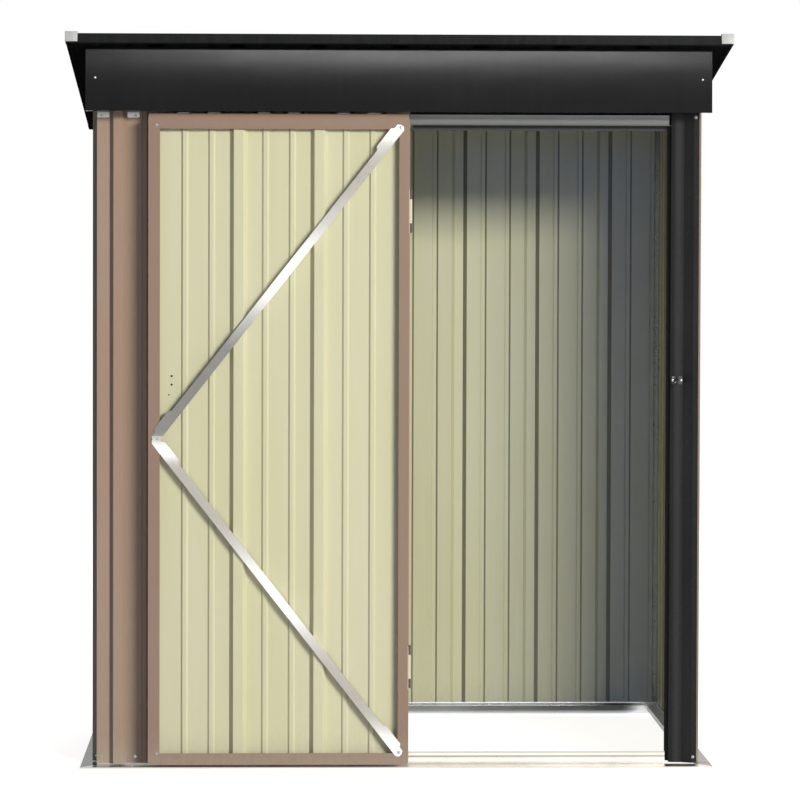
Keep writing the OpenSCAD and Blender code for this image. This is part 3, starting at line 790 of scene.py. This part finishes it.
def wall_seats():
    """Beside each rib, a ray at the base rail and one at the top rail, and how far to stand off."""
    for wall, ribs in wall_ribs.items():
        for rib in ribs:
            for beside in (rib - RIB_SIDE, rib + RIB_SIDE):
                if wall == "front_wall":
                    yield wall, (beside, FRONT - RAY_BACK, LOW_SCREW), (0, 1, 0), 0.0
                    yield wall, (beside, FRONT - RAY_BACK, HIGH_SCREW), (0, 1, 0), CLIP_THICK
                elif wall.startswith("back"):
                    for z in (LOW_SCREW, high_screw(BACK)):
                        yield wall, (beside, BACK + RAY_BACK, z), (0, -1, 0), 0.0
                else:
                    out = -1 if wall == "left_wall" else 1
                    for z in (LOW_SCREW, high_screw(beside)):
                        yield wall, (out * (SIDE + RAY_BACK), beside, z), (-out, 0, 0), 0.0


print("upper screws of the back wall at", round(high_screw(BACK), 3), "m")

# %% Wall screws
TWIST = random.Random(7)
HEX_TURN = math.pi / 3

bm = bmesh.new()
count = 0
for wall, start, direction, lift in wall_seats():
    point, normal = seat(wall, start, direction)
    put(bm, hex_screw(bm), point + normal * lift, normal, TWIST.uniform(0, HEX_TURN))
    count += 1
finished("wall_screws", bm, screw_zinc, "shed")
print("wall screws:", count)

# %% [markdown]
# ## The other screws and rivets
#
# They are grouped by what they hold. Each group is a list of rays, and `drive`
# turns such a list into one piece. Most rays come from the front, at an x and a
# z that are read from the picture.

# %% Screws of the post, the fascia, the door and its latch
START_Y = FRONT - 0.3
POST_SCREWS = [(0.722, 0.0245), (0.722, 1.5825)]
FASCIA_SCREWS = [(-0.731, 1.671), (0.731, 1.671)]
DOOR_SCREWS = [(-0.5831, 1.5575), (-0.5819, 0.0435), (0.0034, 1.554), (0.0023, 0.0453), (-0.5805, 0.8035)]
LATCH_ENDS = [(-0.5472, 0.9331), (-0.5472, 0.9537)]
LATCH_PLUG = [(-0.5542, 0.9082)]


def drive(name, rays, make, material, body):
    """One screw or rivet for each ray (start, direction), all in one piece."""
    bm = bmesh.new()
    for start, direction in rays:
        put(bm, make(bm), *first_seat(start, direction), TWIST.uniform(0, HEX_TURN))
    print(name, len(rays))
    finished(name, bm, material, body)


def from_front(places, start_y=START_Y):
    """Rays that fly towards +Y through each x and z."""
    return [((x, start_y, z), (0, 1, 0)) for x, z in places]


def rivet(radius, height):
    """A maker of rivets of one size."""
    return lambda bm: pan_rivet(bm, radius, height)


drive("post_screws", from_front(POST_SCREWS), hex_screw, screw_zinc, "shed")
drive("fascia_screws", from_front(FASCIA_SCREWS), rivet(0.003, 0.0014), screw_zinc, "shed")
drive("door_screws", from_front(DOOR_SCREWS), hex_screw, screw_zinc, "door")
# The screw ends are dark discs: painted shade of the holes they sit in.
drive("latch_screw_ends", from_front(LATCH_ENDS), rivet(0.0027, 0.002), plug_dark_and_hole_shade, "door")
drive("latch_plug", from_front(LATCH_PLUG), rivet(0.0022, 0.0006), plug_dark_and_hole_shade, "door")

# %% Screws and rivets of the keeper
low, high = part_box("latch_keeper")
KEEPER_X, KEEPER_Z = (low.x + high.x) / 2, (low.z + high.z) / 2
KEEPER_SCREWS = [(-0.0102, 0.0), (0.0102, 0.0)]
KEEPER_RIVETS = [(-0.0032, -0.0045), (0.0032, 0.0042), (-0.0095, 0.007)]


def on_keeper(offsets):
    """Places measured from the middle of the keeper."""
    return from_front([(KEEPER_X + x, KEEPER_Z + z) for x, z in offsets])


drive("keeper_screws", on_keeper(KEEPER_SCREWS), rivet(0.0029, 0.0014), plated, "shed")
drive("keeper_rivets", on_keeper(KEEPER_RIVETS), rivet(0.0016, 0.001), plated, "shed")

# %% Rivets of the hinges
low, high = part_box("hinge_leaves_door")
LEAF_HALF = 0.052
LEAF_MIDDLES = (low.z + LEAF_HALF, high.z - LEAF_HALF)
DOOR_LEAF_STEPS = (-0.038, -0.013, 0.013, 0.038)
WALL_LEAF_STEPS = (-0.036, 0.036)
WALL_LEAF_X = (0.013, -0.006)
LEAF_IN = 0.01
LEAF_AWAY = 0.1
WALL_LEAF_START = FRONT - 0.012

door_leaf = [((high.x + LEAF_AWAY, low.y + LEAF_IN, z + step), (-1, 0, 0))
             for z in LEAF_MIDDLES for step in DOOR_LEAF_STEPS]
drive("hinge_rivets_door", door_leaf, rivet(0.003, 0.0009), plated, "door")
wall_leaf = [(x, z + step) for x in WALL_LEAF_X for z in LEAF_MIDDLES for step in WALL_LEAF_STEPS]
drive("hinge_rivets_wall", from_front(wall_leaf, WALL_LEAF_START), rivet(0.003, 0.0012), plated,
      "shed")

# %% Screws of the roof and rivets of its trims
OVER_ROOF = 2.2
ROOF_RIBS = [RIB_PITCH * k for k in range(-3, 4)]
ROOF_ROWS = (-0.36, 0.025, 0.41)
TRIM_SIDE, TRIM_IN = 0.788, 0.014
SIDE_TRIM_ROWS = (-0.3, -0.05, 0.2, 0.4)
END_TRIM_COLUMNS = (-0.68, -0.34, -0.05, 0.05, 0.34, 0.68)


def from_above(places):
    """Rays that fall through each x and y."""
    return [((x, y, OVER_ROOF), (0, 0, -1)) for x, y in places]


drive("roof_screws", from_above([(x, y) for y in ROOF_ROWS for x in ROOF_RIBS]),
      lambda bm: hex_screw(bm, washer=True), plated, "shed")
trim_places = [(side * TRIM_SIDE, y) for side in (-1, 1) for y in SIDE_TRIM_ROWS]
trim_places += [(x, y) for x in END_TRIM_COLUMNS for y in (cad_low.y + TRIM_IN, cad_high.y - TRIM_IN)]
drive("trim_rivets", from_above(trim_places), rivet(0.0032, 0.0011), roof_coat, "shed")

# %% [markdown]
# ## Moulded caps
#
# The CAD caps have sharp edges. A moulded cap has rounded ones, so each cap's
# own solid is taken as a blank: doubled corners are joined, flat faces are
# made whole again and the edges are rounded inwards. The new piece then stands
# in for the CAD node.

# %% Rounded roof caps
CAP_ROUND = 0.00055
DOUBLED = 1e-6
FLAT_UNDER, SHARP_OVER = math.radians(1), math.radians(30)
SHORT_EDGE = 3 * CAP_ROUND


def moulded_cap(node_name):
    """A copy of a CAD cap with rounded edges, in place of the cap."""
    bm = bmesh.new()
    bm.from_mesh(nodes[node_name].data)
    bmesh.ops.remove_doubles(bm, verts=bm.verts, dist=DOUBLED)
    bmesh.ops.dissolve_limit(bm, angle_limit=FLAT_UNDER, verts=bm.verts, edges=bm.edges)
    sharp = [e for e in bm.edges if len(e.link_faces) == 2 and e.calc_face_angle(0) > SHARP_OVER
             and e.calc_length() > SHORT_EDGE]
    bmesh.ops.bevel(bm, geom=sharp, offset=CAP_ROUND, segments=2, profile=0.5, affect="EDGES",
                    material=-1, clamp_overlap=True)
    thing = finished(f"{node_name}_moulded", bm, cap_plastic, "shed")
    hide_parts(node_name)


cap_names = [name for name in nodes if name.startswith("roof_cap")]
for name in cap_names:
    moulded_cap(name)
print("moulded caps:", len(cap_names))

# %% [markdown]
# ## The ground and the background
#
# The shed stands in a white studio. The floor is ordinary pale paint for the
# light that bounces off it, and brighter for the eye, so that it meets the
# white background without an edge and still keeps a faint shadow. Close to the
# shed it glows a little less, which keeps that shadow in sight.

# %% White to the eye
def eye_light(tree):
    """1 for rays from the camera, from mirrors and through glass, else 0."""
    path = Wire(tree.nodes.new("ShaderNodeLightPath").outputs["Is Camera Ray"])
    seen = path.sum("MAXIMUM", path, path.out("Is Glossy Ray"))
    return seen.sum("MAXIMUM", seen, path.out("Is Transmission Ray"))


AMBIENT = 0.1
SKY_TINT = (0.8, 1.0, 1.4, 1.0)
WHITE = (1, 1, 1, 1)
world = bpy.data.worlds.new("studio")
scene.world = world
world.use_nodes = True
sky = world.node_tree.nodes["Background"]
seen = eye_light(world.node_tree)
tint = world.node_tree.nodes.new("ShaderNodeMix")
tint.data_type = "RGBA"
for slot, value in {0: seen, 6: SKY_TINT, 7: WHITE}.items():
    plug(world.node_tree, tint.inputs[slot], value)
plug(world.node_tree, sky.inputs["Color"], Wire(tint.outputs[2]))
plug(world.node_tree, sky.inputs["Strength"], seen * (1 - AMBIENT) + AMBIENT)
print("background ready, ambient light", AMBIENT)

# %% Floor
FLOOR_HALF = 200
FLOOR_SHADE = 0.62
FULL_WHITE = 1.01
NEAR_GLOW = 0.94
GLOW_FROM, GLOW_TO = 1.5, 5.0

bm = bmesh.new()
bmesh.ops.create_grid(bm, x_segments=1, y_segments=1, size=FLOOR_HALF)
mesh = bpy.data.meshes.new("floor")
bm.to_mesh(mesh)
bm.free()
floor = bpy.data.objects.new("floor", mesh)
scene.collection.objects.link(floor)
floor_paint = bpy.data.materials.new("floor_paint")
floor_paint.use_nodes = True
tree = floor_paint.node_tree
tree.nodes.clear()
shade = tree.nodes.new("ShaderNodeBsdfDiffuse")
shade.inputs["Color"].default_value = (FLOOR_SHADE, FLOOR_SHADE, FLOOR_SHADE, 1)
glow = tree.nodes.new("ShaderNodeEmission")
glow_parts = [FULL_WHITE - FLOOR_SHADE * AMBIENT * part for part in SKY_TINT[:3]]
glow.inputs["Color"].default_value = [*glow_parts, 1.0]
spot = tree.nodes.new("ShaderNodeTexCoord")
away = tree.nodes.new("ShaderNodeVectorMath")
away.operation = "LENGTH"
tree.links.new(spot.outputs["Object"], away.inputs[0])
fade = tree.nodes.new("ShaderNodeMapRange")
for slot, value in {"Value": Wire(away.outputs["Value"]), "From Min": GLOW_FROM, "From Max": GLOW_TO,
                    "To Min": NEAR_GLOW, "To Max": 1.0}.items():
    plug(tree, fade.inputs[slot], value)
plug(tree, glow.inputs["Strength"], eye_light(tree) * Wire(fade.outputs[0]))
both = tree.nodes.new("ShaderNodeAddShader")
tree.links.new(shade.outputs[0], both.inputs[0])
tree.links.new(glow.outputs[0], both.inputs[1])
tree.links.new(both.outputs[0], tree.nodes.new("ShaderNodeOutputMaterial").inputs["Surface"])
mesh.materials.append(floor_paint)
floor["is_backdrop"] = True
print("floor ready, shade", FLOOR_SHADE)

# %% [markdown]
# ## The lamps
#
# The key light stands in front at the right and low. It gives the clear shade
# beside the open door. On the back wall inside, the light of the picture comes
# from nearer the middle, which the same lamp can't do. Light linking solves
# it: each lamp gets a list of objects that it lights, while everything still
# casts its shadow. So one key lights the outside and a second one the inside.
# A weak blue fill cools the inside, a bounce lamp just above the ground lifts
# the outside as a white floor does, and a narrow lamp draws the highlight on
# the bend of the fascia. The rear lamp lights the back for the other views.

# %% Lamps
TARGET = Vector((0, 0, 0.9))
LAMP_WHITE = (1.0, 1.0, 1.0)


def soft_lamp(name, azimuth, elevation, distance, width, height, power, colour):
    """A rectangular lamp; azimuth 0 is the front, positive to the right."""
    a, e = math.radians(azimuth), math.radians(elevation)
    away = Vector((math.sin(a) * math.cos(e), -math.cos(a) * math.cos(e), math.sin(e)))
    data = bpy.data.lights.new(name, "AREA")
    data.shape = "RECTANGLE"
    data.size, data.size_y, data.energy, data.color = width, height, power, colour
    lamp = bpy.data.objects.new(name, data)
    scene.collection.objects.link(lamp)
    lamp.matrix_world = (Matrix.Translation(TARGET + away * distance)
                         @ away.to_track_quat("Z", "Y").to_matrix().to_4x4())
    return lamp


def lit_only(lamp, things):
    """Limits what a lamp lights to a list of objects; everything still casts its shadow."""
    group = bpy.data.collections.new(f"{lamp.name}_lights")
    for thing in things:
        group.objects.link(thing)
    lamp.light_linking.receiver_collection = group


print("the lamps aim at", tuple(TARGET))

# %% What each lamp lights
INSIDE_STARTS = ("back_wall", "base_rail_back", "base_rail_right", "post_back", "top_rail_back",
                 "top_rail_right", "roof_purlin")
shown = [thing for thing in bpy.data.objects if thing.type == "MESH"]
inside = [thing for thing in shown if thing.name in nodes and thing.name.startswith(INSIDE_STARTS)]
outside = [thing for thing in shown if thing not in inside]
bend = [thing for thing in shown if thing.name.startswith("fascia")]

key = soft_lamp("key", azimuth=32, elevation=17, distance=14.0, width=4.9, height=2.2, power=1590,
                colour=(0.998, 1.0, 0.915))
key_inside = soft_lamp("key_inside", azimuth=19, elevation=17, distance=14.0, width=6.0, height=2.2,
                       power=1320, colour=(0.993, 1.0, 0.91))
bounce = soft_lamp("bounce", azimuth=8, elevation=-25.5, distance=1.9, width=3.0, height=0.14,
                   power=2.2, colour=(0.9, 0.85, 1.0))
fill = soft_lamp("fill", azimuth=-6, elevation=3, distance=12.0, width=4.0, height=2.0, power=150.0,
                 colour=(0.0, 0.2, 1.0))
gleam = soft_lamp("gleam", azimuth=3.6, elevation=21.5, distance=10.0, width=2.9, height=0.5,
                  power=260, colour=LAMP_WHITE)
rear = soft_lamp("rear", azimuth=165, elevation=35, distance=5.5, width=3.0, height=2.0, power=90,
                 colour=LAMP_WHITE)
for lamp, things in ((key, outside), (key_inside, inside), (bounce, outside), (fill, inside), (gleam, bend)):
    lit_only(lamp, things)
    print(lamp.name, "lights", len(things), "objects")
for lamp in (bounce, fill):
    lamp.visible_glossy = False
    lamp.visible_camera = False
print("lamp for every object:", rear.name)

# %% [markdown]
# ## Measure and finish
#
# Before the script ends, it writes the box of the dressed model, to set beside
# the box of the bare CAD model written at the start, so that it's easy to see
# that nothing sticks out.

# %% Measure
low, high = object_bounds()
print("scene box", [round(v, 3) for v in low], [round(v, 3) for v in high])
